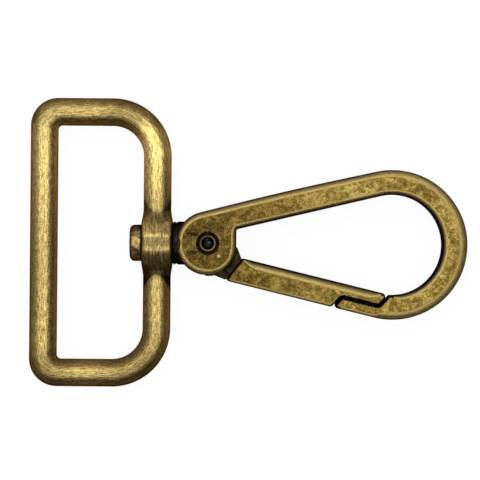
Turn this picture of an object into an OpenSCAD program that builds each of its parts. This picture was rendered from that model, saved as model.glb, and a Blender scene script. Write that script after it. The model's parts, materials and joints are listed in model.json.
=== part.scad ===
// Swivel snap hook for a webbing strap, die cast, with a spring gate that opens inwards.
// Sizes are in millimetres. The hook lies flat: X runs along the swivel axis from the
// strap loop to the hook's end, Z is up, and the origin is under the middle of its outline.
// Every form is first drawn about the gate's pivot, with the swivel axis on X.

/* [Strap loop] */
// Width of the strap that the loop takes
strap_w = 38; // [28:1:60]
// Clear length of the strap slot along the swivel axis
slot_len = 13.9; // [12:0.1:25]
// Diameter of the loop's round bars
wire_d = 4.5; // [3.6:0.1:5.6]
// Inner radius of the two corners at the strap bar
far_corner_r = 0.3; // [0.1:0.05:3]
// Inner radius of the two corners at the swivel
near_corner_r = 5; // [1:0.1:6]

/* [Swivel] */
// Diameter of the boss that the post turns in
boss_d = 8; // [7:0.1:10]
// How far each end of the boss stands proud of the bar
boss_proud = 0.3; // [0.1:0.05:1]
// Slope of the boss's flanks down to the bar
flank_slope = 25; // [24:1:32]
// Radius of the hollow where a flank meets the bar
flank_foot_r = 1.5; // [1.2:0.1:2]
// Rounding of the boss's end edges
boss_edge = 0.45; // [0.1:0.05:0.8]
// Diameter of the swivel post's shank
post_d = 3.6; // [2.6:0.1:4.2]
// Diameter of the post's button head
post_head_d = 6; // [5.2:0.1:7]
// Thickness of the post's button head
post_head_t = 1.9; // [1.4:0.1:3]
// Rounding of the button head's outer edge
post_head_edge = 0.6; // [0.2:0.1:1]
// Diameter of the flange that holds the post in the casting
post_anchor_d = 5; // [4.6:0.1:5.6]
// Thickness of that flange
post_anchor_t = 0.6; // [0.4:0.05:0.8]
// Running clearance round the shank in the boss, on the radius
swivel_fit = 0.1; // [0.05:0.01:0.2]
// End clearance on each side of the boss
swivel_gap = 0.1; // [0.1:0.05:0.5]

/* [Hook body] */
// Distance from the gate's pivot to the centre of the hook's round end
reach = 29.85; // [24:0.05:40]
// Inner radius of the hook's round end
eye_r = 8.1; // [7:0.1:11]
// Width of the hook's bar, seen from above
bar_w = 4.05; // [3.6:0.05:4.2]
// Thickness of the hook body and the gate
body_t = 7.2; // [7:0.1:9]
// Radius of the head round the gate's pivot
head_r = 5.2; // [5.1:0.05:6]
// How far the head's flat side, in the hook's opening, lies inside its round
flat_inset = 0.55; // [0.3:0.05:0.8]
// How much smaller the radius of the head's corner is than that of its round
corner_less = 1; // [0.9:0.05:1.3]
// Rounding of the outer edges of the bar and the head
edge_out = 1.1; // [0.5:0.1:1.8]
// Rounding of the inner edges of the bar
edge_in = 0.8; // [0.3:0.1:1.2]
// Diameter of the collar between the head and the boss
collar_d = 7; // [6.2:0.1:7]
// How far the collar stands out past the head
collar_proud = 0.4; // [0.1:0.05:3]

/* [Gate] */
// Angle through which the gate swings open
gate_open = 30; // [20:1:30]
// Height of the slot that the gate's tang turns in
clevis_h = 3.4; // [3.2:0.1:3.8]
// Clearance above and below the tang
tang_fit = 0.1; // [0.05:0.01:0.15]
// Clearance round the back of the tang
tang_gap = 0.3; // [0.2:0.05:0.4]
// Gap between the head and the gate's shoulder
shoulder_gap = 0.63; // [0.4:0.01:1]
// Slant of the gate's shoulder
shoulder_slant = 25; // [10:1:30]
// Length of the lap joint between the gate and the nose
lap_len = 6.1; // [4:0.1:8]
// Clear gap in the lap joint
lap_gap = 0.25; // [0.2:0.05:0.5]
// Slant of the lap joint's end faces
lap_slant = 30; // [15:1:35]
// How far the lap joint runs past the end of the straight bar
lap_past = 0.15; // [-2:0.05:0.4]

/* [Gate pin] */
// Diameter of the pin's shank
pin_d = 2.4; // [1.8:0.1:2.6]
// Diameter of the pin's rolled heads
pin_head_d = 2.9; // [2.7:0.05:3.2]
// Thickness of each rolled head
pin_head_t = 0.55; // [0.4:0.05:0.8]
// Diameter of the hollow in the pin's ends
pin_hollow_d = 1.9; // [1:0.1:2]
// Depth of that hollow
pin_hollow_depth = 1.2; // [0.6:0.1:2]
// Room round a pin head in its recess, on the radius
recess_gap = 0.45; // [0.2:0.05:0.6]
// How far the pin's heads lie below the face of the head
pin_sunk = 0.1; // [0:0.05:0.3]
// Running clearance of the gate on the pin, on the radius
pin_fit = 0.05; // [0.03:0.01:0.1]

/* [Gate spring] */
// Diameter of the spring wire
spring_wire = 0.5; // [0.4:0.05:0.55]
// Turns of the coil, with a half turn so that the moving leg lies in the gate's neck
spring_turns = 2.5; // [1.5:1:2.5]
// Rise of the coil for each turn, as a share of the wire's diameter
spring_pitch = 1.06; // [1.04:0.01:1.1]
// Clearance between the coil and the pin, and between the coil and its pocket
spring_gap = 0.3; // [0.2:0.05:0.35]
// Clearance under and over the coil
coil_room = 0.06; // [0.03:0.01:0.1]
// How far the still leg reaches into the head
still_leg_hold = 0.8; // [0.4:0.05:1]
// How far the moving leg reaches into the gate
gate_leg_hold = 1.4; // [0.8:0.05:1.5]
// Wall of the tang outside the spring's pocket
pocket_wall = 1; // [0.6:0.05:1.05]

/* [Hidden] */
$fn = 96;

brass_light = "#9c8444";
brass_dark = "#6f5c2c";
pin_tone = "#4a4438";
spring_tone = "#8c8f94";

// Past a face that is cut away, so that no skin is left
over = 1;

// Strap loop and boss, along X from the pivot
wire_r = wire_d / 2;
boss_len = wire_d + 2 * boss_proud;
boss_face = -(head_r + collar_proud + swivel_gap);
near_x = boss_face - boss_len / 2;
far_x = near_x - slot_len - wire_d;
side_y = strap_w / 2 + wire_r;
near_bend = near_corner_r + wire_r;
far_bend = far_corner_r + wire_r;

// Pieces of one outline overlap, and the thinner one lies a hair inside the other, so that
// no two faces only touch
hair = 0.02;
bite = 0.15;

// Each flank of the boss is a plane that touches its round, a hair under it. The hollow at
// its foot touches the flank and the top of the bar, and ends foot_y from the middle.
core_r = boss_d / 2 - hair;
foot_in = flank_foot_r - hair;
foot_rise = wire_r + flank_foot_r;
foot_y = (core_r + foot_in - foot_rise * cos(flank_slope)) / sin(flank_slope);
foot_side_r = 0.6 * flank_foot_r;

// Hook's outline: two circles and the lines that touch both
end_r = eye_r + bar_w;
bar_angle = asin((end_r - head_r) / reach);
bar_len = to_micron(reach * cos(bar_angle));
bar_in = head_r - bar_w;
head_flat = head_r - flat_inset;
head_corner_r = head_r - corner_less;
head_corner_x = head_flat - head_corner_r;
head_corner_y = to_micron(-sqrt((head_r - head_corner_r) ^ 2 - head_corner_x ^ 2));
head_corner_angle = atan2(head_corner_y, head_corner_x);
flat_top = to_micron(at_flat(bar_in));

nose_root = 0.4;

// Gate spring, round the pin and low in its pocket
coil_r = pin_d / 2 + spring_gap + spring_wire / 2;
coil_rise = spring_turns * spring_pitch * spring_wire;
pocket_r = coil_r + spring_wire / 2 + spring_gap;
pocket_depth = coil_rise + spring_wire + 2 * coil_room;
leg_room = 0.08;

// Tang and the slot that it turns in
tang_t = clevis_h - 2 * tang_fit;
tang_back_r = pocket_r + pocket_wall;
tang_proud = 0.15;
tang_out_r = head_r + tang_proud;
slot_top = bar_in - tang_proud;
tang_top_angle = atan2(at_flat(slot_top), head_flat) - gate_open - 2;
tang_low_angle = -95;
neck_low_angle = -78;
heel_end_angle = -60;
neck_top_in = 0.4;
slot_low_angle = tang_low_angle - 6;
slot_r = tang_back_r + tang_gap;

// Post, along X from the pivot
post_seat = boss_face - boss_len - swivel_gap;
collar_face = -(head_r + collar_proud);
post_wall = 0.4;
post_end = -(slot_r + post_wall);

// Lap joint, in the gate's own frame: along the bar and out from the pivot
lap_mid = head_r - bar_w / 2;
lap_end = bar_len + lap_past;
lap_start = lap_end - lap_len;
shoulder = head_r + shoulder_gap;

// Legs of the spring: one in the hook's head, one in the gate. Opening the gate winds the
// coil up.
still_leg_angle = 150;
gate_leg_angle = still_leg_angle + 360 * spring_turns;
coil_low_z = tang_t / 2 - pocket_depth + spring_wire / 2 + coil_room;
coil_top_z = coil_low_z + coil_rise;
still_leg_end = slot_r + still_leg_hold;
gate_leg_end = pocket_r + gate_leg_hold;
coil_sides = 10;
steps_per_turn = 28;

// Pin
recess_d = pin_head_d + 2 * recess_gap;
recess_depth = pin_head_t + pin_sunk;
drill_tip_d = 0.2;

// Outline of the whole part, for its origin
left_x = far_x - wire_r;
right_x = reach + end_r;
mid_x = (left_x + right_x) / 2;
rest_z = max(boss_d, body_t) / 2;

// Lengths that two pieces of an outline share are kept to a whole micron
function to_micron(x) = round(1000 * x) / 1000;

// A point at radius r and angle a, and the point [x, y] turned by an angle
function polar(r, a) = [r * cos(a), r * sin(a)];
function turned(x, y, a) = [x * cos(a) - y * sin(a), x * sin(a) + y * cos(a)];

// The point that lies d past b on the line from a to b
function past(a, b, d) = b + d * (b - a) / norm(b - a);

// Height at which a line along the upper bar, q out from the pivot, crosses the flat side
function at_flat(q) = (q + head_flat * sin(bar_angle)) / cos(bar_angle);

// Places a piece so that the origin is under the middle of the whole part
module placed() {
    translate([-mid_x, 0, rest_z])
        children();
}

// Turns Z to X, for what runs along the swivel axis
module along_x() {
    rotate([0, 90, 0])
        children();
}

// What a rounding of radius r takes off a square corner at [r, r]
module round_off(r) {
    difference() {
        square(r + over);
        circle(r = r);
    }
}

// Section of the hook's bar, from its inner side at 0 to its outer side
module bar_section(inset = 0) {
    top = body_t / 2 - inset;
    difference() {
        translate([inset, -top])
            square([bar_w - 2 * inset, 2 * top]);
        for (s = [0, 1])
            mirror([0, s]) {
                translate([bar_w - inset - edge_out, top - edge_out])
                    round_off(edge_out);
                translate([inset + edge_in, top - edge_in])
                    mirror([1, 0])
                        round_off(edge_in);
            }
    }
}

// Half section of the head, solid from x0 out to its rounded rim at r
module rim_section(r, x0 = 0, inset = 0) {
    top = body_t / 2 - inset;
    difference() {
        translate([x0, -top])
            square([r - inset - x0, 2 * top]);
        for (s = [0, 1])
            mirror([0, s])
                translate([r - inset - edge_out, top - edge_out])
                    round_off(edge_out);
    }
}

// Straight bar in its own frame: X along it, its outer side head_r away from the pivot
module straight_bar(from, to, inset = 0) {
    translate([from, bar_in, 0])
        rotate([90, 0, 90])
            linear_extrude(to - from)
                bar_section(inset);
}

// One end face of the lap joint: how far along the bar it lies at a distance q from the pivot
function slanted(at, q, slant) = at - (q - lap_mid) * tan(slant);

// What the gate and its gap take out of the nose, on the lower side of the hook
module gate_room() {
    near = lap_start + lap_gap / 2;
    far = lap_end + lap_gap / 2;
    half = lap_mid + lap_gap / 2;
    inner = bar_in - over;
    outer = head_r + over;
    linear_extrude(body_t + 2 * over, center = true)
        polygon([
            [slanted(near, outer, lap_slant), -outer],
            [slanted(near, half, lap_slant), -half],
            [slanted(far, half, lap_slant), -half],
            [slanted(far, inner, lap_slant), -inner],
            [near - lap_len, -inner],
            [near - lap_len, -outer]
        ]);
}

// The gate's bar seen from above, from its shoulder to the end of its tongue
module gate_plan() {
    near = lap_start - lap_gap / 2;
    far = lap_end - lap_gap / 2;
    half = lap_mid - lap_gap / 2;
    inner = bar_in - over;
    outer = head_r + over;
    polygon([
        [shoulder_at(inner), -inner],
        [slanted(far, inner, lap_slant), -inner],
        [slanted(far, half, lap_slant), -half],
        [slanted(near, half, lap_slant), -half],
        [slanted(near, outer, lap_slant), -outer],
        [shoulder_at(outer), -outer]
    ]);
}

// Where the gate's shoulder crosses the bar at a distance q from the pivot
function shoulder_at(q) = (shoulder - q * sin(shoulder_slant)) / cos(shoulder_slant);

// Head of the hook: a disc from the upper bar round to the corner, then the corner's
// own round and the flat side
module head() {
    rotate([0, 0, bar_angle])
        rotate([0, 0, 90])
            rotate_extrude(angle = 270 + head_corner_angle - bar_angle)
                rim_section(head_r);
    translate([head_corner_x, head_corner_y, 0])
        rotate_extrude()
            rim_section(head_corner_r, 0, hair);
    translate([0, flat_top + over, 0])
        rotate([90, 0, 0])
            linear_extrude(flat_top + over - head_corner_y)
                rim_section(head_flat, -over);
}

// The slot in the head that the gate's tang turns in
module clevis_slot() {
    linear_extrude(clevis_h, center = true) {
        circle(r = slot_r);
        polygon([
            [0, 0],
            polar(3 * head_r, slot_low_angle),
            polar(3 * head_r, -45),
            turned(2 * head_r, slot_top, bar_angle),
            turned(0, slot_top, bar_angle)
        ]);
    }
}

// Holes for the gate pin: a through bore and a recess in each face
module pin_holes() {
    cylinder(d = pin_d, h = body_t + 2 * over, center = true);
    for (s = [0, 1])
        mirror([0, 0, s])
            translate([0, 0, body_t / 2 - recess_depth])
                cylinder(d = recess_d, h = recess_depth + over);
}

// Notch at the back of the slot for the spring's still leg
module spring_notch() {
    notch_w = spring_wire + 2 * leg_room;
    rotate([0, 0, still_leg_angle])
        translate([tang_back_r, -notch_w / 2, coil_top_z - spring_wire / 2 - leg_room])
            cube([
                still_leg_end + leg_room - tang_back_r,
                notch_w,
                clevis_h / 2 - coil_top_z + spring_wire / 2 + leg_room
            ]);
}

// The part of the swivel post that the hook body is cast round
module post_root() {
    translate([post_end - post_anchor_t, 0, 0])
        along_x()
            cylinder(d = post_anchor_d, h = post_anchor_t);
    translate([collar_face, 0, 0])
        along_x()
            cylinder(d = post_d, h = post_end - collar_face);
}

// The hook's bar in the upper bar's frame: straight, then round the end of the hook
module hook_bar() {
    rotate([0, 0, bar_angle]) {
        straight_bar(0, bar_len);
        translate([bar_len, head_r - end_r, 0])
            mirror([1, 0, 0])
                rotate([0, 0, 90])
                    rotate_extrude(angle = 180 + 2 * bar_angle)
                        translate([eye_r, 0])
                            bar_section();
    }
}

// The straight nose, which the gate's tongue lies on
module nose() {
    rotate([0, 0, -bar_angle])
        mirror([0, 1, 0])
            straight_bar(to_micron(lap_start) - bar_w, bar_len + nose_root, hair);
}

module hook_body() {
    color(brass_light)
        placed()
            difference() {
                union() {
                    head();
                    hook_bar();
                    nose();
                    translate([collar_face, 0, 0])
                        along_x()
                            cylinder(d = collar_d, h = -collar_face - slot_r + over);
                }
                rotate([0, 0, -bar_angle])
                    gate_room();
                clevis_slot();
                pin_holes();
                spring_notch();
                post_root();
            }
}

// The gate's tang, seen from above: an eye round the pin and a neck out to the shoulder
module tang_plan() {
    top = polar(head_r - neck_top_in, tang_top_angle);
    low = polar(tang_out_r - bite / 3, neck_low_angle);
    neck_side = head_r - tang_proud;
    neck_in = turned(shoulder_at(bar_in), -bar_in, -bar_angle);
    neck_out = turned(shoulder_at(neck_side), -neck_side, -bar_angle);
    circle(r = tang_back_r);
    polygon([[0, 0], top, past(top, neck_in, bite), past(low, neck_out, bite), low]);
    intersection() {
        circle(r = tang_out_r);
        polygon([
            [0, 0],
            polar(2 * tang_out_r, tang_low_angle),
            polar(2 * tang_out_r, heel_end_angle)
        ]);
    }
}

// Pocket for the spring in the top of the tang, a groove for the leg that turns with
// the gate, and a window in its wall for the leg that stays still
module spring_pocket() {
    floor_z = tang_t / 2 - pocket_depth;
    groove_w = spring_wire + 2 * leg_room;
    window_z = coil_top_z - spring_wire / 2 - 2 * leg_room;
    margin = 9;
    translate([0, 0, floor_z])
        cylinder(r = pocket_r, h = pocket_depth + over);
    rotate([0, 0, gate_leg_angle])
        translate([0, -groove_w / 2, floor_z])
            cube([gate_leg_end + leg_room, groove_w, pocket_depth + over]);
    translate([0, 0, window_z])
        linear_extrude(tang_t)
            polygon([
                [0, 0],
                polar(2 * tang_back_r, still_leg_angle + margin),
                polar(2 * tang_back_r, still_leg_angle - gate_open / 2),
                polar(2 * tang_back_r, still_leg_angle - gate_open - margin)
            ]);
}

module gate() {
    color(brass_light)
        placed()
            difference() {
                union() {
                    rotate([0, 0, -bar_angle])
                        intersection() {
                            mirror([0, 1, 0])
                                straight_bar(0, lap_end + bar_w);
                            linear_extrude(body_t + 2 * over, center = true)
                                gate_plan();
                        }
                    linear_extrude(tang_t, center = true)
                        tang_plan();
                }
                cylinder(r = pin_d / 2 + pin_fit, h = body_t, center = true);
                spring_pocket();
            }
}

// A hollow-ended pin, its two heads rolled over in the recesses of the hook's head
module gate_pin() {
    color(pin_tone)
        placed()
            difference() {
                union() {
                    cylinder(d = pin_d, h = body_t - 2 * recess_depth, center = true);
                    for (s = [0, 1])
                        mirror([0, 0, s])
                            translate([0, 0, body_t / 2 - recess_depth])
                                pin_head();
                }
                for (s = [0, 1])
                    mirror([0, 0, s])
                        translate([0, 0, body_t / 2 - pin_sunk])
                            pin_hollow();
            }
}

// One rolled head, its outer edge rounded
module pin_head() {
    edge = pin_head_t * 0.45;
    rotate_extrude()
        difference() {
            square([pin_head_d / 2, pin_head_t]);
            translate([pin_head_d / 2 - edge, pin_head_t - edge])
                round_off(edge);
        }
}

// The hollow in the pin's end: a drilled hole with a cone at its bottom
module pin_hollow() {
    straight = pin_hollow_depth - pin_hollow_d / 4;
    translate([0, 0, -straight])
        cylinder(d = pin_hollow_d, h = straight + over);
    translate([0, 0, -pin_hollow_depth])
        cylinder(d1 = drill_tip_d, d2 = pin_hollow_d, h = pin_hollow_d / 4);
}

// Centre line of the spring: the gate's leg, the coil and the still leg
function coil_point(t) = [
    coil_r * cos(gate_leg_angle - 360 * t),
    coil_r * sin(gate_leg_angle - 360 * t),
    coil_low_z + t * spring_pitch * spring_wire
];
coil_steps = round(spring_turns * steps_per_turn);
spring_path = [
    [for (r = [gate_leg_end, (gate_leg_end + coil_r) / 2, coil_r + spring_wire])
        [r * cos(gate_leg_angle), r * sin(gate_leg_angle), coil_low_z]],
    [for (i = [1 : coil_steps - 1]) coil_point(i / steps_per_turn)],
    [for (r = [coil_r + spring_wire, (still_leg_end + coil_r) / 2, still_leg_end])
        [r * cos(still_leg_angle), r * sin(still_leg_angle), coil_top_z]]
];

// Sweeps a round wire along a list of points, closed at both ends
module wire_along(path, d, sides) {
    last = len(path) - 1;
    rings = [for (i = [0 : last])
        let (
            ahead = path[min(i + 1, last)] - path[max(i - 1, 0)],
            dir = ahead / norm(ahead),
            side = cross(dir, [0, 0, 1]) / norm(cross(dir, [0, 0, 1])),
            up = cross(side, dir)
        )
        [for (k = [0 : sides - 1])
            path[i] + d / 2 * (cos(360 * k / sides) * side + sin(360 * k / sides) * up)]
    ];
    skin = [for (i = [0 : last - 1], k = [0 : sides - 1])
        let (n = (k + 1) % sides)
        [i * sides + k, i * sides + n, (i + 1) * sides + n, (i + 1) * sides + k]
    ];
    start_cap = [for (k = [sides - 1 : -1 : 0]) k];
    end_cap = [for (k = [0 : sides - 1]) last * sides + k];
    polyhedron(
        points = [for (ring_points = rings) each ring_points],
        faces = concat(skin, [start_cap, end_cap])
    );
}

module gate_spring() {
    color(spring_tone)
        placed()
            wire_along([for (part = spring_path) each part], spring_wire, coil_sides);
}

// A post with a button head, which turns in the ring's boss and is cast into the hook
module swivel_post() {
    shank = collar_face - post_seat;
    color(brass_dark)
        placed() {
            post_root();
            translate([post_seat, 0, 0])
                along_x()
                    cylinder(d = post_d, h = shank);
            translate([post_seat - post_head_t, 0, 0])
                along_x()
                    rotate_extrude()
                        difference() {
                            square([post_head_d / 2, post_head_t]);
                            translate([post_head_d / 2 - post_head_edge, post_head_edge])
                                mirror([0, 1])
                                    round_off(post_head_edge);
                        }
        }
}

// A round bar of the strap loop along X or Y, from its middle, let into what it joins
module loop_bar(length, turn) {
    rotate(turn)
        cylinder(r = wire_r - hair, h = length + 2 * bite, center = true);
}

// A quarter bend of the loop: its centre line has radius r
module loop_bend(r, turn) {
    rotate([0, 0, turn])
        rotate_extrude(angle = 90)
            translate([r, 0])
                circle(d = wire_d);
}

// The boss seen along the swivel axis: its two flanks, each with a hollow at its foot
module boss_profile() {
    top = polar(core_r, 90 - flank_slope);
    foot = [foot_y, foot_rise] - polar(foot_in, 90 - flank_slope);
    difference() {
        polygon([
            [foot_y, foot.y],
            foot,
            top,
            [-top.x, top.y],
            [-foot.x, foot.y],
            [-foot_y, foot.y],
            [-foot_y, -foot.y],
            [-foot.x, -foot.y],
            -top,
            [top.x, -top.y],
            [foot.x, -foot.y],
            [foot_y, -foot.y]
        ]);
        for (a = [0, 1], b = [0, 1])
            mirror([a, 0])
                mirror([0, b])
                    translate([foot_y, foot_rise])
                        circle(r = flank_foot_r);
    }
}

// The swell of the near bar: as wide as the boss, and round where it leaves the bar
module boss_swell() {
    intersection() {
        rotate([90, 0, 90])
            linear_extrude(boss_len, center = true)
                boss_profile();
        rotate([90, 0, 0])
            rotate_extrude()
                difference() {
                    translate([0, -foot_y - over])
                        square([boss_d, 2 * (foot_y + over)]);
                    for (s = [0, 1])
                        mirror([0, s])
                            translate([wire_r + hair + foot_side_r, foot_y])
                                circle(r = foot_side_r);
                }
    }
}

module boss() {
    boss_swell();
    along_x()
        rotate_extrude()
            difference() {
                translate([0, -boss_len / 2])
                    square([boss_d / 2, boss_len]);
                for (s = [0, 1])
                    mirror([0, s])
                        translate([boss_d / 2 - boss_edge, boss_len / 2 - boss_edge])
                            round_off(boss_edge);
            }
}

module ring() {
    cross_len = near_x - near_bend - far_x - far_bend;
    color(brass_dark)
        placed()
            difference() {
                union() {
                    translate([near_x, 0, 0]) {
                        loop_bar(2 * (side_y - near_bend), [90, 0, 0]);
                        boss();
                    }
                    translate([far_x, 0, 0])
                        loop_bar(2 * (side_y - far_bend), [90, 0, 0]);
                    for (s = [0, 1])
                        mirror([0, s, 0]) {
                            translate([far_x + far_bend + cross_len / 2, side_y, 0])
                                loop_bar(cross_len, [0, 90, 0]);
                            translate([near_x - near_bend, side_y - near_bend, 0])
                                loop_bend(near_bend, 0);
                            translate([far_x + far_bend, side_y - far_bend, 0])
                                loop_bend(far_bend, 90);
                        }
                }
                translate([near_x, 0, 0])
                    along_x()
                        cylinder(r = post_d / 2 + swivel_fit, h = boss_len + 2 * over, center = true);
            }
}

ring();
hook_body();
gate();
gate_pin();
gate_spring();
swivel_post();
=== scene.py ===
import json
import math
import bpy
import numpy as np
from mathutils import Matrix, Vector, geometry


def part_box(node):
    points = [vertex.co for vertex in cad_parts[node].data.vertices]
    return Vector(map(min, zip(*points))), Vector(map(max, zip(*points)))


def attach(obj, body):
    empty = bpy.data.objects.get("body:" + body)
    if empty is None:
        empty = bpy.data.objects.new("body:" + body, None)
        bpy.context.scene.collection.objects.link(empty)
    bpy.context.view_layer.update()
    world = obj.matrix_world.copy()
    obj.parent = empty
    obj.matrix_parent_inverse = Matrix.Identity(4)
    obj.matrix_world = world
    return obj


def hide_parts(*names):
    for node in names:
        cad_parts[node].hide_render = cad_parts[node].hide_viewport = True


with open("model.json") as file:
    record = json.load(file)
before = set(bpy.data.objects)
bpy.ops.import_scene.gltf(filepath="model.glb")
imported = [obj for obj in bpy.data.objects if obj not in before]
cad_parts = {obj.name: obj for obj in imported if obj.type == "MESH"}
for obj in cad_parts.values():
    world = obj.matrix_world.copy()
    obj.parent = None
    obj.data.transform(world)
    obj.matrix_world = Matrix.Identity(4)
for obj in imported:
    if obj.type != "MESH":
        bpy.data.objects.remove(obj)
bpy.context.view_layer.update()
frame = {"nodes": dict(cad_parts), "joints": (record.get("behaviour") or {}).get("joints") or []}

# A die cast swivel snap hook in antique brass, lying on a white floor and seen from above.
# Shapes are drawn in millimetres about the gate's pivot, with the swivel axis on X and Z up,
# and are moved to their place when the mesh is made.
MM = 0.001
JOINTS = {joint["name"]: joint for joint in frame["joints"]}
PIVOT = np.array(JOINTS["gate_hinge"]["pos_m"]) / MM


def solid_box(node):
    """Lowest and highest corner of a solid, in millimetres from the gate's pivot."""
    low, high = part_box(node)
    return np.array(low) / MM - PIVOT, np.array(high) / MM - PIVOT


# Strap loop
ring_low, ring_high = solid_box("ring")
WIRE_R = 2.25
BOSS_HALF = 2.55
BOSS_R = ring_high[2]
BOSS_LAND = 1.05
FLANK_SLOPE = math.radians(25)
FOOT_R = 1.5
NEAR_X = ring_high[0] - BOSS_HALF
FAR_X = ring_low[0] + WIRE_R
SIDE_IN = 0.1
SIDE_Y = ring_high[1] - WIRE_R - SIDE_IN
NEAR_BEND = 7.25
FAR_BEND = 2.95
FAR_OUT_R = 4.5
BORE_R = 1.9

# Hook: a head, a straight bar on each side and a round end
hook_low, hook_high = solid_box("hook_body")
HEAD_R = 5.2
BAR_W = 4.05
BAR_IN = HEAD_R - BAR_W
END_R = hook_high[1]
EYE_R = END_R - BAR_W
REACH = hook_high[0] - END_R
TOP = hook_high[2]
BAR_ANGLE = math.degrees(math.asin((END_R - HEAD_R) / REACH))
BAR_LEN = REACH * math.cos(math.radians(BAR_ANGLE))
HEAD_FLAT = 4.65
CORNER_R = 4.2
CORNER_X = HEAD_FLAT - CORNER_R
CORNER_Y = -math.sqrt((HEAD_R - CORNER_R) ** 2 - CORNER_X ** 2)
HEAD_FILLET = 0.35
OUTER_BOW = 0.18
COLLAR_R = 3.5
COLLAR_OUT = 0.08
COLLAR_X = hook_low[0] - COLLAR_OUT
COLLAR_EDGE = 0.3
COLLAR_GROOVE = 0.14
COLLAR_END = -3

# Lap joint, measured along the lower bar and out from the pivot
LAP_MID = HEAD_R - BAR_W / 2
LAP_END = BAR_LEN + 0.15
LAP_START = LAP_END - 6.1
LAP_GAP = 0.001
LAP_SLANT = math.radians(30)
LAP_TAN = math.tan(LAP_SLANT)

# Gate
GATE_IN = BAR_IN - 0.15
SHOULDER = HEAD_R + 0.63
SHOULDER_SLANT = math.radians(25)
TANG_TOP = 1.6
TANG_R = 3.3
SLOT_TOP = 1.7
SLOT_R = 3.6
SLOT_SIDE = BAR_IN - 0.15
SLOT_BACK_END = 259
HEEL_R = HEAD_R + 0.1
HEEL_START = 265
HEEL_END = 282
NECK_IN = 1.2
GATE_OPEN = JOINTS["gate_hinge"]["range_deg"][1]

# Gate pin and its spring
pin_high = solid_box("gate_pin")[1]
PIN_TOP = pin_high[2]
PIN_HEAD_R = pin_high[0]
PIN_R = 1.2
PIN_BORE_R = PIN_R + 0.05
PIN_HEAD_T = 0.55
PIN_HOLLOW_R = 0.95
RECESS_R = 1.9
RECESS_DEPTH = 0.65
POCKET_R = 2.3
POCKET_FLOOR = -0.345
LEG_W = 0.66
STILL_LEG = 150
LEG_ROOM = 9
TURNING_LEG = -30
GROOVE_OUT = 1.48
NOTCH_DEPTH = 0.88
NOTCH_FLOOR = 0.95
WINDOW_FLOOR = 0.87

# Swivel post
post_low, post_high = solid_box("swivel_post")
POST_R = 1.8
POST_HEAD_R = post_high[2]
POST_HEAD_IN = 0.12
POST_HEAD_X = post_low[0] + POST_HEAD_IN
POST_HEAD_T = 1.86
POST_HEAD_EDGE = 0.85
POST_FLANGE_R = 2.5
POST_FLANGE_T = 0.6

# How far a cutting tool stands past the metal that it cuts, and from how many degrees on an
# edge of a worked piece stays crisp
PAST = 1
CRISP_FROM = 38

# Rounding of the cast edges, as wide as each is seen from above. Edges narrower than CUT_BELOW
# are cut faces, which stay dark. Each face of the lap joint leans back by CUT_LEAN between mid
# height and the top, and CUT_ROUND is the rounding of its corners as seen from above, which
# has to be more than EDGE_CUT and CUT_LEAN together.
EDGE_OUT = 1.05
EDGE_END = 1.6
EDGE_IN = 0.75
EDGE_HEAD = 1.0
EDGE_FLAT = 0.85
EDGE_NOSE = 0.45
EDGE_GATE = 1.3
EDGE_SHOULDER = 0.3
EDGE_CUT = 0.18
EDGE_TANG = 0.12
CUT_BELOW = 0.32
CUT_LEAN = 0.22
CUT_ROUND = 0.58


# Outlines


def polar(radius, angle):
    """The point at a radius and an angle in degrees."""
    turn = math.radians(angle)
    return np.array([radius * math.cos(turn), radius * math.sin(turn)])


def upper(along, out):
    """The point that lies so far along the upper bar and so far out from the pivot."""
    turn = math.radians(BAR_ANGLE)
    x = along * math.cos(turn) - out * math.sin(turn)
    y = along * math.sin(turn) + out * math.cos(turn)
    return np.array([x, y])


def lower(along, out):
    """The same on the lower bar, which mirrors the upper one."""
    return upper(along, out) * (1, -1)


def arc(centre, radius, start, end, longest=0.25):
    """Points on a circle from one angle to the other, without the last one."""
    length = abs(math.radians(end - start)) * radius
    count = max(int(length / longest), int(abs(end - start) / 7), 3)
    turn = np.radians(np.linspace(start, end, count, endpoint=False))
    return np.array(centre) + radius * np.stack([np.cos(turn), np.sin(turn)], axis=1)


def line(start, end, longest=0.35):
    """Evenly spaced points on a straight line, without the last one."""
    count = max(int(np.linalg.norm(end - start) / longest), 1)
    share = np.linspace(0, 1, count, endpoint=False)[:, None]
    return start + share * (end - start)


def filleted(corners, radii, widths, closed=False):
    """Straight lines through the corners, joined by arcs that touch both: an arc of radius r
    starts r * tan(half the turn) before its corner. Each line carries the width of its edge
    rounding, and an arc the smaller of its neighbours'."""
    corners = [np.array(corner, float) for corner in corners]
    count = len(corners)
    points, sizes = [], []
    reach = [0.0] * count
    arcs = [None] * count
    for i in range(count):
        if not closed and i in (0, count - 1):
            continue
        into = corners[i] - corners[i - 1]
        out = corners[(i + 1) % count] - corners[i]
        into, out = into / np.linalg.norm(into), out / np.linalg.norm(out)
        turn = math.atan2(into[0] * out[1] - into[1] * out[0], into @ out)
        side = math.copysign(1, turn)
        reach[i] = radii[i] * math.tan(abs(turn) / 2)
        normal = np.array([-into[1], into[0]]) * side
        centre = corners[i] - into * reach[i] + normal * radii[i]
        start = math.degrees(math.atan2(-normal[1], -normal[0]))
        arcs[i] = arc(centre, radii[i], start, start + math.degrees(turn))
    for i in range(count if closed else count - 1):
        after = (i + 1) % count
        into = corners[after] - corners[i]
        into = into / np.linalg.norm(into)
        if arcs[i] is not None:
            points.append(arcs[i])
            sizes.append(np.full(len(arcs[i]), min(widths[i - 1], widths[i])))
        run = line(corners[i] + into * reach[i], corners[after] - into * reach[after])
        points.append(run)
        sizes.append(np.full(len(run), widths[i]))
    return np.concatenate(points), np.concatenate(sizes)


def carried(points, width):
    """An outline run whose edge rounding has one width."""
    return points, np.full(len(points), float(width))


def joined(*runs):
    """One closed outline from runs of points, each with its widths."""
    return np.concatenate([run[0] for run in runs]), np.concatenate([run[1] for run in runs])


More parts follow.
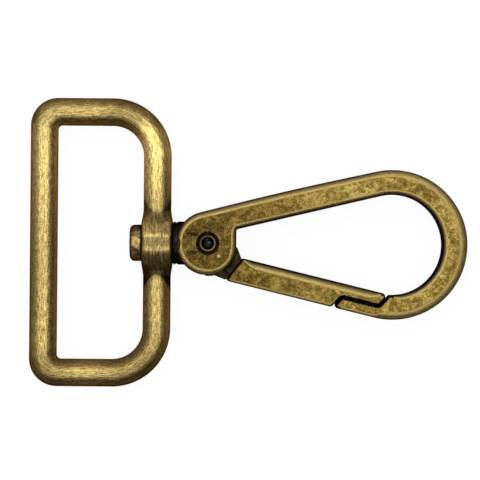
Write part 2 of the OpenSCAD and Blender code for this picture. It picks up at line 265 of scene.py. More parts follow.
def along_outline(points):
    """Distance round the outline of each point, and the whole way round."""
    steps = np.linalg.norm(np.roll(points, -1, axis=0) - points, axis=1)
    return np.concatenate([[0], np.cumsum(steps)[:-1]]), steps.sum()


def eased(points, widths, slope=0.5, blur=0.25):
    """Lets a width grow away from a narrow place only by the slope for each millimetre round
    the outline, then averages it with a bell curve."""
    place, whole = along_outline(points)
    apart = np.abs(place[:, None] - place[None, :])
    apart = np.minimum(apart, whole - apart)
    grown = (widths[None, :] + slope * apart).min(axis=1)
    step = (np.roll(place, -1) - place) % whole
    bell = np.exp(-0.5 * (apart / blur) ** 2) * (step + np.roll(step, 1))[None, :]
    return (bell * grown[None, :]).sum(axis=1) / bell.sum(axis=1)


def outward(points):
    """Unit normals to the right of a path that runs anticlockwise: the mean of the normals
    of the two lines that meet at each point."""
    ahead = np.roll(points, -1, axis=0) - points
    ahead /= np.linalg.norm(ahead, axis=1)[:, None]
    normal = np.stack([ahead[:, 1], -ahead[:, 0]], axis=1)
    normal = normal + np.roll(normal, 1, axis=0)
    return normal / np.linalg.norm(normal, axis=1)[:, None]


# Meshes


def new_mesh(name, points, faces, dark=False):
    """A mesh object from points in millimetres about the pivot and lists of corner numbers.
    It has two material slots: the first for rubbed faces and the second for dark ones."""
    mesh = bpy.data.meshes.new(name)
    mesh.from_pydata(((points + PIVOT) * MM).tolist(), [], faces)
    mesh.validate()
    mesh.shade_smooth()
    mesh.materials.append(None)
    mesh.materials.append(None)
    mesh.polygons.foreach_set("material_index", np.full(len(mesh.polygons), int(dark)))
    piece = bpy.data.objects.new(name, mesh)
    bpy.context.scene.collection.objects.link(piece)
    return piece


def grid_faces(rows, columns, close_rows=False):
    """Quads of a grid whose columns close to a ring, and whose rows may close too."""
    row = np.arange(rows if close_rows else rows - 1)[:, None]
    column = np.arange(columns)[None, :]
    ahead = (row + 1) % rows
    beside = (column + 1) % columns
    corners = [row * columns + column, row * columns + beside]
    corners += [ahead * columns + beside, ahead * columns + column]
    return np.stack(np.broadcast_arrays(*corners), axis=2).reshape(-1, 4)


def inside(points, outline):
    """Whether each point lies inside the outline, by the crossings of a ray towards +X."""
    start, end = outline, np.roll(outline, -1, axis=0)
    x, y = points[:, 0:1], points[:, 1:2]
    spans = (start[:, 1] > y) != (end[:, 1] > y)
    rise = end[:, 1] - start[:, 1]
    rise = np.where(np.abs(rise) < 1e-12, 1e-12, rise)
    cross = start[:, 0] + (y - start[:, 1]) * (end[:, 0] - start[:, 0]) / rise
    return (spans & (x < cross)).sum(axis=1) % 2 == 1


def flat_points(outline, spacing):
    """Points of a staggered grid that lie inside the outline, clear of it by half a space,
    and how far each is from it."""
    low, high = outline.min(axis=0), outline.max(axis=0)
    x = np.arange(low[0], high[0], spacing)
    y = np.arange(low[1], high[1], spacing * 0.866)
    grid_x, grid_y = np.meshgrid(x, y)
    grid_x = grid_x + spacing / 2 * (np.arange(len(y)) % 2)[:, None]
    points = np.stack([grid_x.ravel(), grid_y.ravel()], axis=1)
    points = points[inside(points, outline)]
    far = np.linalg.norm(points[:, None, :] - outline[None, :, :], axis=2).min(axis=1)
    return points[far > spacing / 2], far[far > spacing / 2]


def smooth_step(value):
    """3 v^2 - 2 v^3, held at 0 and 1."""
    value = np.clip(value, 0, 1)
    return value * value * (3 - 2 * value)


def unevenness(x, y):
    """The slight waves of a cast and tumbled face: three crossed sines 5 to 7 mm long."""
    first = np.sin(0.83 * x + 0.41 * y + 0.6)
    second = np.sin(-0.52 * x + 1.07 * y + 2.1)
    third = np.sin(1.21 * x - 0.33 * y + 4.0)
    return (first + second + third) / 3


# A casting's flats: how high they are crowned and waved, how far from the rim the crown is
# whole, and the spacing of their net. Its walls: their rows, and the draft.
CROWN = 0.05
WAVE = 0.018
CROWN_REACH = 1.4
NET = 0.45
SIDE_ROWS = 7
EDGE_ROWS = 9
DRAFT = 0.1


def plate_wall(widths, top, draft, cut_lean):
    """How far in from the outline and how high each row of a casting's wall is at each point,
    from the bottom rim to the top one. The side leans in from the parting line at mid height
    by lean * share ** 1.6. The lean is the draft where the edge is 0.7 mm wide or more, and
    all but cut_lean where it is 0.2 mm or less. The edge is a quarter ellipse:
    width * (1 - cos t) in and drop * sin t up."""
    drop = np.minimum(widths, EDGE_OUT)
    rise = top - CROWN - WAVE - drop
    share = np.linspace(0, 1, SIDE_ROWS)[:, None]
    lean = draft * np.clip(widths / 0.7, 0, 1) ** 2
    lean = lean + cut_lean * np.clip((0.5 - widths) / 0.3, 0, 1)
    turn = np.radians(np.linspace(0, 90, EDGE_ROWS)[1:, None])
    back = np.concatenate([share ** 1.6 * lean, lean + widths * (1 - np.cos(turn))])
    height = np.concatenate([share * rise, rise + drop * np.sin(turn)])
    back = np.concatenate([back[:0:-1], back])
    height = np.concatenate([-height[:0:-1], height])
    return back, height


def net_inside(rim):
    """A fine net of triangles that fills a rim: its points inside the rim, how far each is
    from it, and the triangles, whose corner numbers count the rim's points first."""
    within, far = flat_points(rim, NET)
    cloud = np.concatenate([rim, within])
    ring = list(range(len(rim)))
    found = geometry.delaunay_2d_cdt(cloud.tolist(), [], [ring], 1, 1e-7)
    order = np.array([source[0] for source in found[3]])
    return within, far, order[np.array(found[2])]


def cast_plate(name, outline, top, draft=DRAFT, cut_lean=CUT_LEAN, dark=False):
    """A flat casting. Each outline point gives one column of the wall, which is set back along
    the point's normal. The top and the bottom are nets inside the wall's last rows, raised by
    a smooth step of the distance from the rim, times the crown and the waves."""
    points, widths = outline
    widths = eased(points, widths)
    back, height = plate_wall(widths, top, draft, cut_lean)
    plan = points[None] - outward(points)[None] * back[..., None]
    rows, columns = height.shape
    skin = np.concatenate([plan, height[..., None]], axis=2).reshape(-1, 3)
    faces = grid_faces(rows, columns).tolist()

    within, far, triangles = net_inside(plan[-1])
    waves = CROWN + WAVE * unevenness(within[:, 0], within[:, 1])
    z = height[-1, 0] + smooth_step(far / CROWN_REACH) * waves
    upper_face = np.concatenate([within, z[:, None]], axis=1)
    lower_face = upper_face * (1, 1, -1)
    rim = np.arange(columns)
    inner = len(skin) + np.arange(len(within))
    upper_number = np.concatenate([(rows - 1) * columns + rim, inner])
    lower_number = np.concatenate([rim, inner + len(within)])
    faces += upper_number[triangles].tolist()
    faces += lower_number[triangles[:, ::-1]].tolist()

    piece = new_mesh(name, np.concatenate([skin, upper_face, lower_face]), faces, dark)
    marks = np.full(len(faces), int(dark))
    marks[:(rows - 1) * columns][np.tile(widths < CUT_BELOW, rows - 1)] = 1
    piece.data.polygons.foreach_set("material_index", marks)
    return piece


def prism(name, outline, low, high, dark=True):
    """A straight prism over an outline that runs anticlockwise."""
    count = len(outline)
    levels = [np.column_stack([outline, np.full(count, z)]) for z in (low, high)]
    ring = list(range(count))
    faces = grid_faces(2, count).tolist() + [ring[::-1], [number + count for number in ring]]
    return new_mesh(name, np.concatenate(levels), faces, dark)


def revolved(name, profile, steps=72, along_x=False, dark=True, dents=None):
    """A profile of (radius, height) points turned about the axis. It runs from the low end to
    the high one, and starts and ends on the axis, where its row becomes one point with a fan
    of triangles. Dents gives how deep each point of the grid is struck in."""
    profile = np.array(profile, float)
    turn = np.linspace(0, 2 * math.pi, steps, endpoint=False)
    radius = np.repeat(profile[1:-1, 0:1], steps, axis=1)
    height = np.repeat(profile[1:-1, 1:2], steps, axis=1)
    if dents is not None:
        radius = radius - dents(turn[None, :], height, radius)
    grid = np.stack([radius * np.cos(turn), radius * np.sin(turn), height], axis=2).reshape(-1, 3)
    poles = [[0, 0, profile[0, 1]], [0, 0, profile[-1, 1]]]
    points = np.concatenate([grid, poles])
    rows = len(profile) - 2
    faces = grid_faces(rows, steps).tolist()
    number = np.arange(steps)
    beside = (number + 1) % steps
    last = (rows - 1) * steps
    start = np.full(steps, len(grid))
    faces += np.stack([start, beside, number], axis=1).tolist()
    faces += np.stack([start + 1, last + number, last + beside], axis=1).tolist()
    if along_x:
        points = points[:, [2, 0, 1]]
    return new_mesh(name, points, faces, dark)


def round_edge(radius, height, size, start, end, steps=7):
    """Profile points of a rounded edge about the centre (radius, height)."""
    turn = np.radians(np.linspace(start, end, steps))
    return np.stack([radius + size * np.cos(turn), height + size * np.sin(turn)], axis=1).tolist()


def plug(name, radius, low, high, along_x=False):
    """A round cutting tool between two heights."""
    walls = [(0, low), (radius, low), (radius, high), (0, high)]
    return revolved(name, walls, along_x=along_x)


def turned_box(start, end, angle):
    """A box as wide as the room for the spring's leg, between two distances from the pivot,
    turned by an angle in degrees."""
    half = LEG_W / 2
    box = np.array([[start, -half], [end, -half], [end, half], [start, half]])
    turn = math.radians(angle)
    x = box[:, 0] * math.cos(turn) - box[:, 1] * math.sin(turn)
    y = box[:, 0] * math.sin(turn) + box[:, 1] * math.cos(turn)
    return np.stack([x, y], axis=1)


def worked(piece, joins=(), cuts=()):
    """Joins tools to a piece and cuts others out of it, one after the other, and keeps the
    edges of the cuts crisp."""
    for operation, tools in (("UNION", joins), ("DIFFERENCE", cuts)):
        for tool in tools:
            step = piece.modifiers.new(tool.name, "BOOLEAN")
            step.operation = operation
            step.solver = "MANIFOLD"
            step.object = tool
    graph = bpy.context.evaluated_depsgraph_get()
    mesh = bpy.data.meshes.new_from_object(piece.evaluated_get(graph))
    piece.modifiers.clear()
    piece.data = mesh
    for tool in (*joins, *cuts):
        bpy.data.objects.remove(tool)
    mesh.set_sharp_from_angle(angle=math.radians(CRISP_FROM))
    return piece


# Strap loop


def loop_path():
    """Centre line of the loop, anticlockwise from the middle of the bar at the swivel: its
    points, the normals that point out of the loop, and the half width on the outer side. A
    ray from the centre of a far bend meets the outer outline, which has a wider round."""
    near_y = SIDE_Y - NEAR_BEND
    past_boss = np.array([NEAR_X, 7.0])
    fine = line(np.array([NEAR_X, 0]), past_boss, 0.1)
    coarse = line(past_boss, np.array([NEAR_X, near_y]), 0.4)
    bend = arc((NEAR_X - NEAR_BEND, near_y), NEAR_BEND, 0, 90, 0.3)
    side = line(np.array([NEAR_X - NEAR_BEND, SIDE_Y]), np.array([FAR_X + FAR_BEND, SIDE_Y]), 0.4)
    centre = np.array([FAR_X + FAR_BEND, SIDE_Y - FAR_BEND])
    corner = arc(centre, FAR_BEND, 90, 180, 0.16)
    far = line(np.array([FAR_X, SIDE_Y - FAR_BEND]), np.array([FAR_X, 0]), 0.4)
    ray = (corner - centre) / FAR_BEND
    straight = (FAR_BEND + WIRE_R) / np.abs(ray).max(axis=1)
    apart = FAR_BEND + WIRE_R - FAR_OUT_R
    aim = ray @ np.array([-apart, apart])
    round_off = aim + np.sqrt(aim ** 2 - 2 * apart ** 2 + FAR_OUT_R ** 2)
    touched = straight[:, None] * np.abs(ray)
    outer = np.where(touched.min(axis=1) > apart, round_off, straight) - FAR_BEND
    half = np.concatenate([fine, coarse, bend, side, corner, far])
    width = np.full(len(half), WIRE_R)
    start = len(fine) + len(coarse) + len(bend) + len(side)
    width[start:start + len(corner)] = outer
    path = np.concatenate([half, [[FAR_X, 0]], half[:0:-1] * (1, -1)])
    return path, outward(path), np.concatenate([width, [WIRE_R], width[:0:-1]])


def swell(y):
    """Half width and half height of the bar near the boss, and the radius of its corners.
    The height is the boss's round, held down to a flat land by a soft minimum, then a flank
    that touches the round, and a hollow that touches the flank and the bar: foot_y is where
    it ends."""
    y = np.abs(y)
    slope_sin, slope_cos = math.sin(FLANK_SLOPE), math.cos(FLANK_SLOPE)
    foot_y = (BOSS_R + FOOT_R - (WIRE_R + FOOT_R) * slope_cos) / slope_sin
    crown = np.sqrt(np.clip(BOSS_R ** 2 - y ** 2, 0, None))
    land = math.sqrt(BOSS_R ** 2 - BOSS_LAND ** 2) + 0.03
    sharp = 30
    crown = -np.log(np.exp(-crown * sharp) + np.exp(-land * sharp)) / sharp
    flank = (BOSS_R - y * slope_sin) / slope_cos
    hollow = WIRE_R + FOOT_R - np.sqrt(np.clip(FOOT_R ** 2 - (foot_y - y) ** 2, 0, None))
    height = np.where(y < BOSS_R * slope_sin, crown, flank)
    height = np.where(y > foot_y - FOOT_R * slope_sin, hollow, height)
    height = np.where(y > foot_y, WIRE_R, height)
    width = WIRE_R + (BOSS_HALF - WIRE_R) * smooth_step((foot_y + 0.6 - y) / 2.6)
    corner = WIRE_R + (0.55 - WIRE_R) * np.clip((foot_y + 0.1 - y) / 1.7, 0, 1) ** 0.8
    return width, height, corner


def soft_step(value):
    """A step from -1 to 1 that is steep in its middle, for the flats of the boss's section."""
    return np.tanh(2.6 * value) / math.tanh(2.6)


def strap_loop():
    """The loop's skin: a section carried along the path. Round the section the point is
    (width - corner) * g(cos t) + corner * cos t, and the same upwards with sin t. There g is
    the soft step, so the section is a circle on the bars and a crowned box at the boss. The
    steps of t are shortest at the crowns and the sides, where g is steep."""
    path, normal, outer = loop_path()
    at_boss = np.abs(path[:, 0] - NEAR_X) < 1e-6
    y = np.where(at_boss, path[:, 1], 99.0)
    width, height, corner = (value[:, None] for value in swell(y))
    turn = np.linspace(0, 2 * math.pi, 72, endpoint=False)
    turn = turn - 0.11 * np.sin(4 * turn)
    across, above = np.cos(turn)[None], np.sin(turn)[None]
    out = (width - corner) * soft_step(across) + corner * across
    out = out * np.where(across > 0, outer[:, None] / WIRE_R, 1)
    up = (height - corner) * soft_step(above) + corner * above
    plan = path[:, None, :] + normal[:, None, :] * out[..., None]
    points = np.concatenate([plan, up[..., None]], axis=2).reshape(-1, 3)
    faces = grid_faces(len(path), len(turn), close_rows=True)[:, ::-1]
    loop = new_mesh("strap_loop", points, faces.tolist())
    place, whole = along_outline(path)
    lay_grain(loop, faces, np.append(place, whole), np.append(turn, 2 * math.pi) * WIRE_R)
    reach = BOSS_HALF + PAST
    return worked(loop, cuts=[plug("bore", BORE_R, NEAR_X - reach, NEAR_X + reach, along_x=True)])


def lay_grain(piece, faces, along, around):
    """A UV map in millimetres that runs along the bar and round it. A face that closes the
    grid takes its far corners from the end of the range."""
    columns = len(around) - 1
    row, column = faces // columns, faces % columns
    row = np.where((row == 0) & (row.max(axis=1) > 1)[:, None], len(along) - 1, row)
    column = np.where((column == 0) & (column.max(axis=1) > 1)[:, None], columns, column)
    layer = piece.data.uv_layers.new(name="grain")
    layer.data.foreach_set("uv", np.stack([along[row], around[column]], axis=2).ravel())


# Hook casting


def end_widths(points):
    """Edge rounding round the hook's end: widest where the end points along X."""
    aim = np.clip((points[:, 0] - REACH) / END_R, -0.25, 1)
    return EDGE_OUT + (EDGE_END - EDGE_OUT) * ((aim + 0.25) / 1.25) ** 0.7


def hook_outline():
    """The hook seen from above, anticlockwise: head, inner side, nose and outer side. The eye
    runs on to the nose's slanted face, which meets the eye's round at nose_turn. The upper
    bar's outer edge is bowed outwards by half a sine."""
    half_turn = 90 + BAR_ANGLE
    corner_angle = math.degrees(math.atan2(CORNER_Y, CORNER_X))
    head = arc((0, 0), HEAD_R, half_turn, 360 + corner_angle)
    corner = arc((CORNER_X, CORNER_Y), CORNER_R, corner_angle, 0)
    turn = math.radians(BAR_ANGLE)
    inner_y = (BAR_IN + HEAD_FLAT * math.sin(turn)) / math.cos(turn)
    inner_corners = [(HEAD_FLAT, CORNER_Y), (HEAD_FLAT, inner_y), upper(BAR_LEN, BAR_IN)]
    inner = filleted(inner_corners, [0, HEAD_FILLET, 0], [EDGE_FLAT, EDGE_IN])

    face = LAP_END + LAP_GAP / 2
    deep = (face - BAR_LEN + (LAP_MID + END_R - HEAD_R) * LAP_TAN) * math.cos(LAP_SLANT)
    nose_turn = math.degrees(math.asin(deep / EYE_R) - LAP_SLANT)
    short_of_nose = nose_turn - half_turn + 3
    end_centre = np.array([REACH, 0])
    eye = arc(end_centre, EYE_R, half_turn, short_of_nose)
    half = LAP_MID + LAP_GAP / 2
    tip = LAP_START + LAP_GAP / 2
    nose_corners = [
        end_centre + polar(EYE_R, short_of_nose),
        end_centre + polar(EYE_R, nose_turn - half_turn),
        lower(face - (half - LAP_MID) * LAP_TAN, half),
        lower(tip - (half - LAP_MID) * LAP_TAN, half),
        lower(tip - (HEAD_R - LAP_MID) * LAP_TAN, HEAD_R),
        lower(BAR_LEN, HEAD_R),
    ]
    nose = filleted(nose_corners, [0] + [CUT_ROUND] * 4 + [0], [EDGE_CUT] * 4 + [EDGE_NOSE])
    end = arc(end_centre, END_R, -half_turn, half_turn)
    outer = line(upper(BAR_LEN, HEAD_R), upper(0, HEAD_R))
    bow = OUTER_BOW * np.sin(np.linspace(0, math.pi, len(outer), endpoint=False))
    outer = outer + bow[:, None] * upper(0, 1)
    return joined(
        carried(head, EDGE_HEAD),
        carried(corner, EDGE_HEAD),
        inner,
        carried(eye, EDGE_IN),
        nose,
        (end, end_widths(end)),
        carried(outer, EDGE_OUT),
    )


def clevis_slot():
    """The slot that the tang turns in: a round behind the pin, open towards the gate. Its
    mouth runs on far past the head, where there is no metal."""
    start = BAR_ANGLE + math.degrees(math.asin(SLOT_SIDE / SLOT_R))
    back = arc((0, 0), SLOT_R, start, SLOT_BACK_END)
    outside = 16
    mouth = [polar(SLOT_R, SLOT_BACK_END), polar(outside, SLOT_BACK_END), polar(outside, 315)]
    mouth.append(upper(10.4, SLOT_SIDE))
    return prism("slot", np.concatenate([back, mouth]), -SLOT_TOP, SLOT_TOP)


def post_profile(start):
    """Profile of the post's shank from a start, with the flange that the casting grips."""
    end = post_high[0]
    flange = end - POST_FLANGE_T
    return [
        (0, start),
        (POST_R, start),
        (POST_R, flange),
        (POST_FLANGE_R, flange),
        (POST_FLANGE_R, end),
        (0, end),
    ]


def spring_notch():
    """The notch in the head for the spring's still leg."""
    box = turned_box(TANG_R, SLOT_R + NOTCH_DEPTH, STILL_LEG)
    return prism("notch", box, NOTCH_FLOOR, SLOT_TOP - 0.01)


def hook_casting():
    """Head, bar, round end and nose in one casting, with a grooved collar for the post."""
    body = cast_plate("hook_casting", hook_outline(), TOP)
    groove = COLLAR_R - COLLAR_GROOVE
    collar = [(0, COLLAR_X)]
    collar += round_edge(COLLAR_R - COLLAR_EDGE, COLLAR_X + COLLAR_EDGE, COLLAR_EDGE, -90, 0)
    collar += [(groove, COLLAR_X + 0.45), (groove, COLLAR_X + 0.7)]
    collar += [(COLLAR_R, COLLAR_X + 0.8), (COLLAR_R, COLLAR_END), (0, COLLAR_END)]
    cuts = [
        clevis_slot(),
        plug("pin_bore", PIN_R, -TOP - PAST, TOP + PAST),
        plug("recess", RECESS_R, -TOP - PAST, RECESS_DEPTH - TOP),
        plug("recess", RECESS_R, TOP - RECESS_DEPTH, TOP + PAST),
        spring_notch(),
        revolved("post_root", post_profile(COLLAR_X - PAST), along_x=True),
    ]
    return worked(body, joins=[revolved("collar", collar, along_x=True)], cuts=cuts)


# Gate casting


def shoulder_at(out):
    """How far along the bar the gate's slanted shoulder lies at a distance from the pivot."""
    return (SHOULDER - out * math.sin(SHOULDER_SLANT)) / math.cos(SHOULDER_SLANT)


def gate_outline():
    """The gate's bar seen from above, anticlockwise from the outer end of its shoulder."""
    near = LAP_START - LAP_GAP / 2
    far = LAP_END - LAP_GAP / 2
    half = LAP_MID - LAP_GAP / 2
    corners = [
        lower(shoulder_at(HEAD_R), HEAD_R),
        lower(near - (HEAD_R - LAP_MID) * LAP_TAN, HEAD_R),
        lower(near - (half - LAP_MID) * LAP_TAN, half),
        lower(far - (half - LAP_MID) * LAP_TAN, half),
        lower(far - (GATE_IN - LAP_MID) * LAP_TAN, GATE_IN),
        lower(shoulder_at(GATE_IN), GATE_IN),
    ]
    widths = [EDGE_NOSE, EDGE_CUT, EDGE_CUT, EDGE_CUT, EDGE_GATE, EDGE_SHOULDER]
    return filleted(corners, [0.5] + [CUT_ROUND] * 4 + [0.5], widths, closed=True)


def tang_outline():
    """The tang seen from above: an eye round the pin, a heel that closes the head's slot, and
    a neck that ends in the bar."""
    turn = math.radians(BAR_ANGLE)
    mouth_y = (SLOT_SIDE + HEAD_FLAT * math.sin(turn)) / math.cos(turn)
    top_angle = math.degrees(math.atan2(mouth_y, HEAD_FLAT)) - GATE_OPEN - 2
    eye = arc((0, 0), TANG_R, top_angle, HEEL_START)
    step_corners = [polar(TANG_R, HEEL_START), polar(HEEL_R, HEEL_START), polar(HEEL_R, 270)]
    step = filleted(step_corners, [0, 0.25, 0], [EDGE_TANG] * 2)
    heel = arc((0, 0), HEEL_R, 270, HEEL_END)
    outer = HEAD_R - 0.15
    neck_corners = [
        polar(HEEL_R, HEEL_END),
        lower(shoulder_at(outer), outer),
        lower(shoulder_at(outer) + NECK_IN, outer - NECK_IN / 2),
        lower(shoulder_at(BAR_IN) + NECK_IN, BAR_IN + NECK_IN / 2),
        lower(shoulder_at(BAR_IN), BAR_IN),
        polar(HEAD_R - 0.4, top_angle),
        polar(TANG_R, top_angle),
    ]
    neck = filleted(neck_corners, [0, 0.3, 0.4, 0.4, 0.2, 0.35, 0], [EDGE_TANG] * 6)
    return joined(carried(eye, EDGE_TANG), step, carried(heel, EDGE_TANG), neck)


def spring_room():
    """What the spring takes out of the tang: a round pocket, a groove for the leg that turns
    with the gate and a window for the leg that stays still. As the gate opens, that leg
    sweeps back through the window, which has LEG_ROOM degrees to spare at each end."""
    high = TANG_TOP + PAST
    groove = turned_box(0, POCKET_R + GROOVE_OUT, TURNING_LEG)
    sweep = (STILL_LEG - GATE_OPEN - LEG_ROOM, STILL_LEG - GATE_OPEN / 2, STILL_LEG + LEG_ROOM)
    window = np.array([polar(0.4, 300)] + [polar(5, angle) for angle in sweep])
    return [
        plug("pocket", POCKET_R, POCKET_FLOOR, high),
        prism("groove", groove, POCKET_FLOOR + 0.002, high + 0.1),
        prism("window", window, WINDOW_FLOOR, high + 0.2),
    ]


def gate_casting():
    """The gate's bar with its half of the lap joint, and the thinner tang on the pin."""
    bar = cast_plate("gate_casting", gate_outline(), TOP)
    tang = cast_plate("tang", tang_outline(), TANG_TOP, draft=0.02, cut_lean=0, dark=True)
    bore = plug("gate_bore", PIN_BORE_R, -TOP, TOP)
    return worked(bar, joins=[tang], cuts=[bore, *spring_room()])


# Pin and post


def turned_pin():
    """The hollow-ended pin: a shank and two heads with a rolled rim. The hollow in each is a
    dish whose radius goes as cos t and whose depth goes as sin t."""
    edge = 0.22
    lip = 0.12
    low = PIN_TOP - PIN_HEAD_T
    half = [(PIN_R, 0), (PIN_R, low), (PIN_HEAD_R - 0.05, low)]
    half += round_edge(PIN_HEAD_R - edge, PIN_TOP - edge, edge, 0, 90)
    half += round_edge(PIN_HOLLOW_R + lip, PIN_TOP - lip, lip, 90, 180)
    turn = np.linspace(0, math.pi / 2, 9)[1:]
    dish_r = PIN_HOLLOW_R * np.cos(turn)
    dish_z = PIN_TOP - lip - 0.1 - 0.5 * np.sin(turn)
    half += list(zip(dish_r.tolist(), dish_z.tolist()))
    half[-1] = (0, half[-1][1])
    mirrored = [(radius, -height) for radius, height in half[:0:-1]]
    return revolved("turned_pin", mirrored + half, steps=96, dark=False)


def peened(turn, height, radius):
    """How deep the post's head is struck in: shallow flats round its rim, as two cosines of
    the turn, and one deeper strike, both faded by bell curves and kept off the shank."""
    on_head = radius > POST_R + 0.6
    along = height - POST_HEAD_X
    rim = np.exp(-(((along - 0.9) / 0.75) ** 2)) * on_head
    flats = 0.06 * np.cos(9 * turn + 1.3) + 0.05 * np.cos(5 * turn - 0.4)
    strike = 0.16 * np.exp(-(((turn - 1.62) / 0.2) ** 2) - ((along - 1.0) / 0.42) ** 2)
    return rim * (0.08 + flats) * 0.6 + strike * on_head


def turned_post():
    """The swivel post: a button head, a shank and the flange inside the casting."""
    start, edge = POST_HEAD_X, POST_HEAD_EDGE
    head_end = start + POST_HEAD_T
    head = [(0, start), (POST_HEAD_R * 0.4, start)]
    head += round_edge(POST_HEAD_R - edge, start + edge, edge, -90, 0, steps=9)
    rim = np.linspace(start + edge + 0.12, head_end - 0.25, 8)
    head += [(POST_HEAD_R, height) for height in rim]
    head += round_edge(POST_HEAD_R - 0.15, head_end - 0.15, 0.15, 0, 90, steps=5)
    shank = post_profile(head_end)[1:]
    return revolved("turned_post", head + shank, steps=144, along_x=True, dark=False, dents=peened)


# Materials


def srgb(code):
    """A colour written as sRGB hex, as linear red, green, blue and alpha."""
    value = np.array([int(code[i:i + 2], 16) for i in (1, 3, 5)]) / 255
    linear = np.where(value <= 0.04045, value / 12.92, ((value + 0.055) / 1.055) ** 2.4)
    return (*linear.tolist(), 1.0)


def add_node(tree, kind, inputs=None, **settings):
    """Adds a node. Its own properties come as settings, and its inputs as values or as the
    sockets that feed them."""
    node = tree.nodes.new(kind)
    for name, value in settings.items():
        setattr(node, name, value)
    for name, value in (inputs or {}).items():
        if isinstance(value, bpy.types.NodeSocket):
            tree.links.new(value, node.inputs[name])
        else:
            node.inputs[name].default_value = value
    return node


def new_material(name):
    """An empty node material with its output node."""
    material = bpy.data.materials.new(name)
    material.use_nodes = True
    tree = material.node_tree
    tree.nodes.clear()
    output = add_node(tree, "ShaderNodeOutputMaterial")
    return material, tree, output


def sums(tree, operation, *values):
    """One maths node over one, two or three values."""
    inputs = dict(enumerate(values))
    return add_node(tree, "ShaderNodeMath", inputs, operation=operation).outputs[0]


def millimetres(tree):
    """Object coordinates in millimetres, for patterns with real sizes."""
    place = add_node(tree, "ShaderNodeTexCoord").outputs["Object"]
    inputs = {"Vector": place, "Scale": 1 / MM}
    return add_node(tree, "ShaderNodeVectorMath", inputs, operation="SCALE").outputs[0]


def noise(tree, place, size, detail=2.0, rough=0.5):
    """A noise pattern whose patches are about so many millimetres across."""
    inputs = {"Vector": place, "Scale": 1 / size, "Detail": detail, "Roughness": rough}
    return add_node(tree, "ShaderNodeTexNoise", inputs).outputs[0]


def ramp(tree, value, stops):
    """A colour ramp through stops: each a position with a hex colour or a share of white."""
    node = add_node(tree, "ShaderNodeValToRGB", {0: value})
    while len(node.color_ramp.elements) < len(stops):
        node.color_ramp.elements.new(0.5)
    for element, (position, shade) in zip(node.color_ramp.elements, stops):
        element.position = position
        element.color = srgb(shade) if isinstance(shade, str) else (shade, shade, shade, 1)
    return node.outputs[0]


def spread(tree, value, low, high, to_low, to_high):
    """Maps a range of values to another, and holds it at both ends."""
    inputs = {0: value, 1: low, 2: high, 3: to_low, 4: to_high}
    return add_node(tree, "ShaderNodeMapRange", inputs, clamp=True).outputs[0]


def coloured(tree, colour, amount, other):
    """Mixes two colours, and returns the mixed one."""
    node = add_node(tree, "ShaderNodeMix", data_type="RGBA")
    for number, value in ((0, amount), (6, colour), (7, other)):
        if isinstance(value, bpy.types.NodeSocket):
            tree.links.new(value, node.inputs[number])
        else:
            node.inputs[number].default_value = value
    return node.outputs[2]


def darkened(tree, colour, share):
    """A colour times a share between 0 and 1."""
    return coloured(tree, srgb("#000000"), share, colour)


def about_pivot(tree, place):
    """X, Y and Z in millimetres from the gate's pivot, as three values."""
    inputs = {0: place, 1: tuple(PIVOT.tolist())}
    moved = add_node(tree, "ShaderNodeVectorMath", inputs, operation="SUBTRACT").outputs[0]
    return add_node(tree, "ShaderNodeSeparateXYZ", {0: moved}).outputs


def normal_part(tree, axis):
    """One part of the surface's own normal: how far it points along the object's axis."""
    normal = add_node(tree, "ShaderNodeTexCoord").outputs["Normal"]
    return add_node(tree, "ShaderNodeSeparateXYZ", {0: normal}).outputs[axis]


def facing(tree):
    """How squarely the face looks up or down: the height of its normal, without its sign."""
    return sums(tree, "ABSOLUTE", normal_part(tree, "Z"))


def on_outer_walls(tree, axes):
    """1 on the hook's outer walls, and 0 on those round its opening, which keep a nearly black
    painted
    shade: the normal times the way from the nearest point of a line along the opening's middle."""
    normal = add_node(tree, "ShaderNodeTexCoord").outputs["Normal"]
    nearest = add_node(tree, "ShaderNodeClamp", {0: axes["X"], 1: 4.0, 2: REACH}).outputs[0]
    inputs = {"X": sums(tree, "SUBTRACT", axes["X"], nearest), "Y": axes["Y"]}
    way = add_node(tree, "ShaderNodeCombineXYZ", inputs).outputs[0]
    inputs = {0: normal, 1: way}
    product = add_node(tree, "ShaderNodeVectorMath", inputs, operation="DOT_PRODUCT")
    return spread(tree, product.outputs["Value"], -0.3, 0.3, 0, 1)


def shifted(tree, value, pattern, amount):
    """A value moved up and down by a pattern that lies about 0.5."""
    return sums(tree, "MULTIPLY_ADD", sums(tree, "SUBTRACT", pattern, 0.5), amount, value)


def spot(tree, axes, x, y, long, wide):
    """A soft oval spot: 1 in its middle at [x, y], 0 outside its half length and width."""
    across = sums(tree, "DIVIDE", sums(tree, "SUBTRACT", axes["X"], x), long)
    along = sums(tree, "DIVIDE", sums(tree, "SUBTRACT", axes["Y"], y), wide)
    squared = sums(tree, "MULTIPLY_ADD", across, across, sums(tree, "MULTIPLY", along, along))
    return spread(tree, squared, 0.2, 1.0, 1.0, 0.0)


def metal(tree, output, colour, rough, relief, depth, glancing=None):
    """A metal surface with a fine relief that is so many millimetres deep. Its glancing
    reflection takes the surface's own colour, because the coat is dull, or the one given."""
    bump_inputs = {"Height": relief, "Strength": 0.7, "Distance": depth * MM}
    bump = add_node(tree, "ShaderNodeBump", bump_inputs).outputs[0]
    inputs = {"Base Color": colour, "Roughness": rough, "Normal": bump, "Metallic": 1.0}
    inputs["Specular Tint"] = glancing or colour
    shader = add_node(tree, "ShaderNodeBsdfPrincipled", inputs)
    tree.links.new(shader.outputs[0], output.inputs[0])


# Colours of the loop by how squarely a place looks up, from the bars' sides to their crowns: partly
# rubbed wear, partly painted shade that darkens the sides and a painted highlight on the crowns
BAR_STOPS = [
    (0.0, "#67563B"), (0.4, "#755F3D"), (0.6, "#7C6840"), (0.7, "#836F43"),
    (0.77, "#95804C"), (0.82, "#A8925A"), (0.86, "#AC975D"), (0.95, "#BAA66A"),
]
